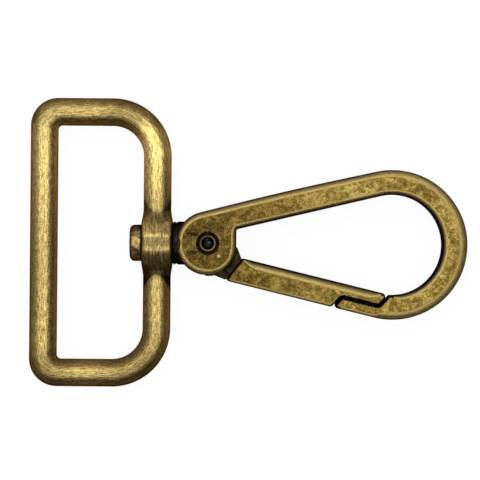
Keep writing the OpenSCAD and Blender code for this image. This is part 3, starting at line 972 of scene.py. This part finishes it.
# How much of that colour shows on the boss, by the distance from the swivel axis in mm: painted
# shade on the flanks and in the hollows at their feet, darker on the -Y side, and lighter land
# edges
BOSS_SPAN = 6
BOSS_WEAR_AND_SHADE = [
    (-5.95, 1.0), (-5.5, 0.68), (-5.0, 0.1), (-3.0, 0.24), (-2.0, 0.39), (-1.4, 0.72),
    (-0.85, 0.8), (-0.4, 0.48), (0.0, 0.42), (0.8, 0.39), (1.3, 0.97), (2.0, 0.77), (3.0, 0.42),
    (3.8, 0.31), (4.7, 0.23), (5.2, 0.75), (5.9, 1.0),
]


def boss_coat_and_shade(tree, axes, clouds):
    """How much of the rubbed colour shows at each place of the boss, and 1 elsewhere, with painted
    shade on its flanks and in the hollows at their feet. Beyond the boss's land, a line of one
    value bends by a share of the square of the way across."""
    across = sums(tree, "SUBTRACT", axes["X"], NEAR_X)
    away = sums(tree, "ABSOLUTE", axes["Y"])
    bend = spread(tree, away, 2.5, 4.5, 0, 0.45)
    bend = sums(tree, "MULTIPLY", sums(tree, "MULTIPLY", across, across), bend)
    place = sums(tree, "SUBTRACT", away, bend)
    place = sums(tree, "MULTIPLY", place, sums(tree, "SIGN", axes["Y"]))
    share = shifted(tree, spread(tree, place, -BOSS_SPAN, BOSS_SPAN, 0, 1), clouds, 0.05)
    coat = ramp(tree, share, [(0.5 + y / BOSS_SPAN / 2, wear) for y, wear in BOSS_WEAR_AND_SHADE])
    at_boss = spread(tree, axes["X"], NEAR_X - 4, NEAR_X - 3.5, 0, 1)
    return coloured(tree, (1, 1, 1, 1), at_boss, coat)


def brightness_by_place(tree, axes):
    """How bright each part of the loop is painted. The upper and lower bars are brightest near
    their middle. The near bar gets a painted highlight that is brightest towards its upper end, its
    inner half and the far bar are lighter towards +Y, the far bar's outer side is darker, and faces
    turned towards -Y get painted shade."""
    x, y = axes["X"], axes["Y"]
    inner_side = sums(tree, "ABSOLUTE", sums(tree, "SUBTRACT", x, NEAR_X - 1.7))
    inner_side = spread(tree, inner_side, 0.2, 1.3, spread(tree, y, -5, 6, 0.85, 1.45), 1.0)
    far_side = spread(tree, x, FAR_X - 2, FAR_X + 0.6, 0.74, 1.0)
    far_bar = spread(tree, x, FAR_X + 3, FAR_X + 6, spread(tree, y, -2, 14, 0.95, 1.33), 1.0)
    middle = sums(tree, "ABSOLUTE", sums(tree, "SUBTRACT", x, NEAR_X - 11.2))
    middle = spread(tree, middle, 0, 5.5, 0.9, 0.56)
    upper_bar = spread(tree, y, 18, 20, 1.0, middle)
    lower_from = spread(tree, x, FAR_X + 2, FAR_X + 7, -16.5, -12.5)
    lower_bar = spread(tree, y, -19.5, lower_from, middle, 1.0)
    # painted highlight: the near bar is brightened towards its upper end
    near_bar_highlight = spread(tree, y, 6.5, 15, -0.1, 0.76)
    near_bar_highlight = sums(tree, "MINIMUM", near_bar_highlight, spread(tree, y, 15.5, 19, 0.76, 0.1))
    off_boss = spread(tree, sums(tree, "ABSOLUTE", y), 4, 6, 0, 1)
    on_near_bar = spread(tree, x, NEAR_X - 6, NEAR_X - 2.5, 0, 1)
    near_bar_highlight = sums(tree, "MULTIPLY", near_bar_highlight, off_boss)
    near_bar_highlight = sums(tree, "MULTIPLY_ADD", near_bar_highlight, on_near_bar, 1.0)
    # painted shade on faces turned towards -Y
    painted_shade_below = spread(tree, normal_part(tree, "Y"), -0.9, -0.35, 0.6, 1.0)
    share = inner_side
    for other in (far_side, far_bar, upper_bar, lower_bar, near_bar_highlight, painted_shade_below):
        share = sums(tree, "MULTIPLY", share, other)
    return share


def bar_brass():
    """Antique brass on the strap loop: plating blackened in a bath, then rubbed along the bars. The
    eye gets a bright streaky line along each bar's crown, partly a painted highlight that a darker
    middle splits in two, brown sides darkened by painted shade, and a boss whose flanks kept their
    dark coat and get painted shade."""
    material, tree, output = new_material("antique_brass_loop")
    place = millimetres(tree)
    axes = about_pivot(tree, place)
    clouds = noise(tree, place, 1.3, detail=3, rough=0.6)
    fine = noise(tree, place, 0.18, detail=2, rough=0.6)
    # The streaks are about 1.25 mm long and 0.18 mm wide
    grain = add_node(tree, "ShaderNodeUVMap", uv_map="grain").outputs[0]
    inputs = {0: grain, 1: (0.8, 5.5, 0)}
    drawn = add_node(tree, "ShaderNodeVectorMath", inputs, operation="MULTIPLY").outputs[0]
    streaks = noise(tree, drawn, 1.0, detail=3, rough=0.6)
    wear_and_facing = shifted(tree, facing(tree), clouds, 0.14)
    wear_and_facing = shifted(tree, wear_and_facing, streaks, 0.3)
    wear_and_facing = shifted(tree, wear_and_facing, fine, 0.16)
    colour = ramp(tree, sums(tree, "MULTIPLY", wear_and_facing, 0.85), BAR_STOPS)
    inputs = {0: colour, 1: boss_coat_and_shade(tree, axes, clouds)}
    colour = add_node(tree, "ShaderNodeVectorMath", inputs, operation="MULTIPLY").outputs[0]
    speckle_and_painted_light = spread(tree, shifted(tree, streaks, fine, 0.9), 0.34, 0.66, 0.5, 1.5)
    # painted highlight: the very top of the crowns is darkened, so that two bright lines run beside
    # it
    painted_double_highlight = spread(tree, shifted(tree, facing(tree), fine, 0.012), 0.984, 0.994, 1.0, 0.8)
    speckle_and_painted_light = sums(tree, "MULTIPLY", speckle_and_painted_light, painted_double_highlight)
    # the loop's painted highlight and painted shade by place scale the colour too
    speckle_and_painted_light = sums(tree, "MULTIPLY", speckle_and_painted_light, brightness_by_place(tree, axes))
    inputs = {0: colour, "Scale": speckle_and_painted_light}
    colour = add_node(tree, "ShaderNodeVectorMath", inputs, operation="SCALE").outputs[0]
    rough = spread(tree, fine, 0.3, 0.7, 0.36, 0.5)
    relief = sums(tree, "MULTIPLY_ADD", streaks, 0.6, fine)
    metal(tree, output, colour, rough, relief, 0.03, glancing=srgb("#A08F78"))
    return material


# Colours of the castings' walls and rounded edges, from the walls to the flats' rims, where the
# nearly black walls are painted shade and the bright rims partly a painted highlight, and of the
# mottled flats, from the blackened patches to the rubbed ones
EDGE_STOPS = [
    (0.0, "#150F09"), (0.34, "#2A2115"), (0.5, "#56482F"), (0.68, "#705F3F"),
    (0.84, "#7E6D45"), (0.93, "#95834F"), (0.97, "#A08D56"), (1.0, "#88753F"),
]
FLAT_STOPS = [
    (0.32, "#43340F"), (0.43, "#57471B"), (0.5, "#675625"), (0.57, "#77652E"), (0.68, "#8E7B45"),
]
WALL_STOPS = [(0.38, "#33291A"), (0.5, "#4A3D26"), (0.64, "#665534")]

# The largest smudges on the head, left of the pin, and painted shade above the pin round its
# recess: X, Y, half length, half width and strength
SMUDGES_AND_RECESS_SHADE = [(-2.5, 1.4, 1.2, 0.42, 0.9), (-2.4, -1.5, 1.1, 0.42, 0.9), (0.4, 2.5, 3.0, 1.1, 0.4)]


def mottled_flats(tree, place, axes, clouds, fine):
    """Colour of the flats: patches, specks and wide drifts, lighter towards the hook's far end than
    on the head."""
    large = noise(tree, place, 3.2, detail=1)
    mottle = shifted(tree, shifted(tree, clouds, fine, 0.8), large, 0.35)
    towards_end = sums(tree, "MULTIPLY_ADD", axes["Y"], 0.4, axes["X"])
    towards_end = spread(tree, towards_end, -2, 25, 0, 1)
    lighter_to_end = coloured(tree, (0.45, 0.41, 0.28, 1), towards_end, (1.18, 1.18, 1.24, 1))
    inputs = {0: ramp(tree, mottle, FLAT_STOPS), 1: lighter_to_end}
    return add_node(tree, "ShaderNodeVectorMath", inputs, operation="MULTIPLY").outputs[0]


def flat_brass():
    """Antique brass on the hook and the gate: the same bath, tumbled afterwards. The eye gets edges
    rubbed bright and partly painted as a highlight, walls round the opening painted nearly black as
    shade, brown outer walls, and flats mottled in olive and dark brown."""
    material, tree, output = new_material("antique_brass_hook")
    place = millimetres(tree)
    axes = about_pivot(tree, place)
    clouds = noise(tree, place, 0.8, detail=3, rough=0.65)
    fine = noise(tree, place, 0.17, detail=2, rough=0.6)
    upright = facing(tree)
    wear_and_facing = shifted(tree, shifted(tree, upright, clouds, 0.28), fine, 0.4)
    # walls round the opening keep the nearly black painted shade of the edge colours
    wall = spread(tree, upright, 0.25, 0.55, 1, 0)
    wall = sums(tree, "MULTIPLY", wall, on_outer_walls(tree, axes))
    edges = coloured(tree, ramp(tree, wear_and_facing, EDGE_STOPS), wall, ramp(tree, clouds, WALL_STOPS))
    level = spread(tree, shifted(tree, upright, clouds, 0.02), 0.982, 0.997, 0, 1)
    colour = coloured(tree, edges, level, mottled_flats(tree, place, axes, clouds, fine))
    # dark smudges, and painted shade round the pin's recess
    for x, y, long, wide, amount in SMUDGES_AND_RECESS_SHADE:
        dark_spot = sums(tree, "MULTIPLY", spot(tree, axes, x, y, long, wide), amount)
        colour = coloured(tree, colour, dark_spot, srgb("#171004"))
    # painted highlight in a small pit
    pit_glint = spot(tree, axes, 1.75, -2.05, 0.3, 0.3)
    colour = coloured(tree, colour, pit_glint, srgb("#8C8060"))
    # pale painted glints on the bevels of the rims
    bevel_glints = spread(tree, noise(tree, place, 0.3, detail=2, rough=0.7), 0.6, 0.72, 0, 0.5)
    bevel_glints = sums(tree, "MULTIPLY", bevel_glints, spread(tree, upright, 0.8, 0.95, 0, 1))
    colour = coloured(tree, colour, bevel_glints, srgb("#A99A78"))
    rough = spread(tree, fine, 0.3, 0.7, 0.4, 0.55)
    rough = sums(tree, "ADD", rough, spread(tree, upright, 0.25, 0.6, 0.12, 0))
    relief = sums(tree, "MULTIPLY_ADD", clouds, 1.2, fine)
    metal(tree, output, colour, rough, relief, 0.04)
    return material


def blackened_brass_and_shade():
    """The blackening as the bath leaves it, on the collar, the tang and in recesses, where no
    rubbing reaches; on the collar, low between the boss and the head, it is also painted shade. The
    eye gets a nearly black brown, darkened on faces turned sideways by painted shade, and a painted
    shadow makes the ring-shaped gap round the pin darkest."""
    material, tree, output = new_material("blackened_brass_and_shade")
    place = millimetres(tree)
    axes = about_pivot(tree, place)
    clouds = noise(tree, place, 0.8, detail=3, rough=0.6)
    colour = ramp(tree, clouds, [(0.35, "#17120C"), (0.52, "#272015"), (0.68, "#383022")])
    # painted shade: faces turned sideways are darkened
    side_shade = spread(tree, facing(tree), 0.3, 0.95, 0.3, 1.0)
    # painted shadow in the ring-shaped gap round the pin
    pin_gap_shadow = spot(tree, axes, 0, 0, 2.6, 2.6)
    high = spread(tree, sums(tree, "ABSOLUTE", axes["Z"]), 2.0, 2.6, 0, 0.9)
    share = sums(tree, "SUBTRACT", 1.0, sums(tree, "MULTIPLY", pin_gap_shadow, high))
    colour = darkened(tree, colour, sums(tree, "MULTIPLY", side_shade, share))
    metal(tree, output, colour, 0.5, clouds, 0.03)
    return material


# Colours of the pin's end from its middle to its rim; the dark bands at the hollow's edge and at
# the rim's outer edge are painted shade
PIN_STOPS = [
    (0.0, "#1C1F25"), (0.38, "#15171B"), (0.6, "#0C0B09"), (0.68, "#362F1C"), (0.82, "#5A4E2E"),
    (0.92, "#2A2212"), (1.0, "#0A0806"),
]

# Painted glints in the pin's hollow: written as the smudges are, with a colour
PIN_GLINTS = [(0.2, 0.12, 0.26, 0.2, 0.8, "#3A4150"), (-0.12, 0.62, 0.2, 0.16, 0.7, "#5A5C5C")]


def pin_metal():
    """Plated steel of the pin: dim brass on the rolled rim, and dark slate in the hollow, where the
    plating hardly reached. Painted shade darkens the upper left, and the hollow gets two small
    painted cold glints."""
    material, tree, output = new_material("plated_pin_steel")
    place = millimetres(tree)
    axes = about_pivot(tree, place)
    inputs = {"X": axes["X"], "Y": axes["Y"]}
    flat = add_node(tree, "ShaderNodeCombineXYZ", inputs).outputs[0]
    radius = add_node(tree, "ShaderNodeVectorMath", {0: flat}, operation="LENGTH").outputs["Value"]
    fine = noise(tree, place, 0.25)
    share = shifted(tree, sums(tree, "DIVIDE", radius, PIN_HEAD_R), fine, 0.08)
    colour = ramp(tree, share, PIN_STOPS)
    # painted light: lighter towards the lower right, darker towards the upper left
    lit_lower_right = sums(tree, "SUBTRACT", axes["X"], axes["Y"])
    colour = darkened(tree, colour, spread(tree, lit_lower_right, -1.6, 1.6, 0.5, 1.0))
    for x, y, long, wide, amount, code in PIN_GLINTS:
        glint = sums(tree, "MULTIPLY", spot(tree, axes, x, y, long, wide), amount)
        colour = coloured(tree, colour, glint, srgb(code))
    metal(tree, output, colour, 0.42, fine, 0.01)
    return material


POST_STOPS = [(0.3, "#32271B"), (0.45, "#54432E"), (0.57, "#745F41"), (0.7, "#9E8858")]


def post_metal():
    """The post's plated steel, hammered and then blackened. The eye gets patches of dark and light
    brown, darkened down the sides by painted shade, and a painted gold highlight on top, round one
    struck mark whose middle is a deeper brown."""
    material, tree, output = new_material("antique_brass_post")
    place = millimetres(tree)
    axes = about_pivot(tree, place)
    clouds = noise(tree, place, 0.7, detail=3, rough=0.6)
    fine = noise(tree, place, 0.2, detail=2)
    colour = ramp(tree, shifted(tree, clouds, fine, 0.5), POST_STOPS)
    # painted shade down the sides of the head
    colour = darkened(tree, colour, spread(tree, facing(tree), 0.2, 0.9, 0.5, 1.0))
    # painted highlight in gold on the top facet
    gold_highlight = shifted(tree, spot(tree, axes, POST_HEAD_X + 0.9, 0.15, 0.9, 1.1), clouds, 2.0)
    gold_highlight = spread(tree, gold_highlight, 0.3, 1.0, 0, 0.7)
    colour = coloured(tree, colour, gold_highlight, srgb("#A08850"))
    struck = spot(tree, axes, POST_HEAD_X + 1.1, 0.1, 0.3, 0.42)
    colour = coloured(tree, colour, sums(tree, "MULTIPLY", struck, 0.5), srgb("#5E4010"))
    metal(tree, output, colour, 0.42, fine, 0.03)
    return material


def spring_wire():
    """Hard drawn spring steel: grey, with a satin shine and fine marks from the drawing die."""
    material, tree, output = new_material("drawn_spring_steel")
    marks = noise(tree, millimetres(tree), 0.1)
    rough = spread(tree, marks, 0.3, 0.7, 0.25, 0.4)
    metal(tree, output, srgb("#8C8F94"), rough, marks, 0.005)
    return material


# The object

loop_brass = bar_brass()
hook_brass = flat_brass()
# the dark coat, which also paints shade on the collar, on sideways faces and round the pin
blackened = blackened_brass_and_shade()
pieces = [
    (strap_loop(), "ring", "ring", "antique_brass_loop", [loop_brass, blackened]),
    (hook_casting(), "hook_body", "hook", "antique_brass_hook", [hook_brass, blackened]),
    (gate_casting(), "gate", "gate", "antique_brass_hook", [hook_brass, blackened]),
    (turned_pin(), "gate_pin", "hook", "dark_pin", [pin_metal()]),
    (turned_post(), "swivel_post", "hook", "antique_brass_loop", [post_metal()]),
]
for piece, node, body, finish, materials in pieces:
    slots = piece.data.materials
    for number, material in enumerate(materials):
        slots[number] = material
    while len(slots) > len(materials):
        slots.pop()
    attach(piece, body)
    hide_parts(node)

spring = frame["nodes"]["gate_spring"]
spring.data.materials.clear()
spring.data.materials.append(spring_wire())


# Floor, light and camera

FLOOR_HALF = 1.5
EVEN_WHITE = 0.93
SOFTBOX_PLACE = (0.0, 0.01, 0.45)
SOFTBOX_SIZE = 0.68
SOFTBOX_POWER = 2.95


def white_floor():
    """A plain white floor. Camera, glossy and transmitted rays see mostly even white, and the
    rest is the lit floor with the object's shadow."""
    corners = [(-1, -1), (1, -1), (1, 1), (-1, 1)]
    mesh = bpy.data.meshes.new("floor")
    mesh.from_pydata([(x * FLOOR_HALF, y * FLOOR_HALF, 0) for x, y in corners], [], [(0, 1, 2, 3)])
    floor = bpy.data.objects.new("floor", mesh)
    bpy.context.scene.collection.objects.link(floor)
    material, tree, output = new_material("white_floor")
    rays = add_node(tree, "ShaderNodeLightPath").outputs
    seen = sums(tree, "MAXIMUM", rays["Is Camera Ray"], rays["Is Glossy Ray"])
    seen = sums(tree, "MAXIMUM", seen, rays["Is Transmission Ray"])
    share = sums(tree, "MULTIPLY", seen, EVEN_WHITE)
    lit = add_node(tree, "ShaderNodeBsdfDiffuse", {"Color": (0.95, 0.95, 0.95, 1)}).outputs[0]
    even = add_node(tree, "ShaderNodeEmission", {"Color": (1, 1, 1, 1), "Strength": 1.0}).outputs[0]
    mixed = add_node(tree, "ShaderNodeMixShader", {0: share, 1: lit, 2: even}).outputs[0]
    tree.links.new(mixed, output.inputs[0])
    mesh.materials.append(material)


def soft_light(name, place, size, power):
    """A square soft light that faces the frame's origin, which lies under the object."""
    data = bpy.data.lights.new(name, "AREA")
    data.shape = "SQUARE"
    data.size = size
    data.energy = power
    lamp = bpy.data.objects.new(name, data)
    bpy.context.scene.collection.objects.link(lamp)
    lamp.location = place
    x, y, z = place
    lamp.rotation_euler = (math.atan2(math.hypot(x, y), z), 0, math.atan2(x, -y))


def studio_world():
    """A white surround, brighter towards +Y and -X, from where the object is lit, than on the
    other side. The camera itself sees it plain white."""
    world = bpy.data.worlds.new("studio")
    world.use_nodes = True
    tree = world.node_tree
    tree.nodes.clear()
    aim = add_node(tree, "ShaderNodeTexCoord").outputs["Generated"]
    aim = add_node(tree, "ShaderNodeSeparateXYZ", {0: aim}).outputs
    side = sums(tree, "MULTIPLY_ADD", aim["X"], -0.65, aim["Y"])
    side = spread(tree, side, -0.7, 0.8, 0.12, 1.05)
    rays = add_node(tree, "ShaderNodeLightPath").outputs
    inputs = {0: rays["Is Camera Ray"], 2: side, 3: 1.0}
    strength = add_node(tree, "ShaderNodeMix", inputs).outputs[0]
    inputs = {"Color": (1, 1, 1, 1), "Strength": strength}
    background = add_node(tree, "ShaderNodeBackground", inputs).outputs[0]
    output = add_node(tree, "ShaderNodeOutputWorld")
    tree.links.new(background, output.inputs[0])
    bpy.context.scene.world = world


# The photo's width and scale, by how many degrees it is turned, the place in its middle, and
# how far above the object the camera is
PHOTO_PIXELS = 480
PIXELS_PER_MM = 6.16
VIEW_WIDTH = PHOTO_PIXELS / PIXELS_PER_MM
VIEW_TURN = 0.5
VIEW_CENTRE = (-1.36, 0.58)
CAMERA_FAR = 400


def photo_camera():
    """Looks straight down through a long lens."""
    data = bpy.data.cameras.new("camera")
    data.sensor_width = 36
    data.lens = data.sensor_width * CAMERA_FAR / VIEW_WIDTH
    data.clip_start = 0.01
    camera = bpy.data.objects.new("camera", data)
    bpy.context.scene.collection.objects.link(camera)
    camera.location = (VIEW_CENTRE[0] * MM, VIEW_CENTRE[1] * MM, (CAMERA_FAR + PIVOT[2]) * MM)
    camera.rotation_euler = (0, 0, math.radians(VIEW_TURN))
    bpy.context.scene.camera = camera


white_floor()
studio_world()
soft_light("overhead_softbox", SOFTBOX_PLACE, SOFTBOX_SIZE, SOFTBOX_POWER)
photo_camera()
bpy.context.scene.view_settings.view_transform = "Standard"
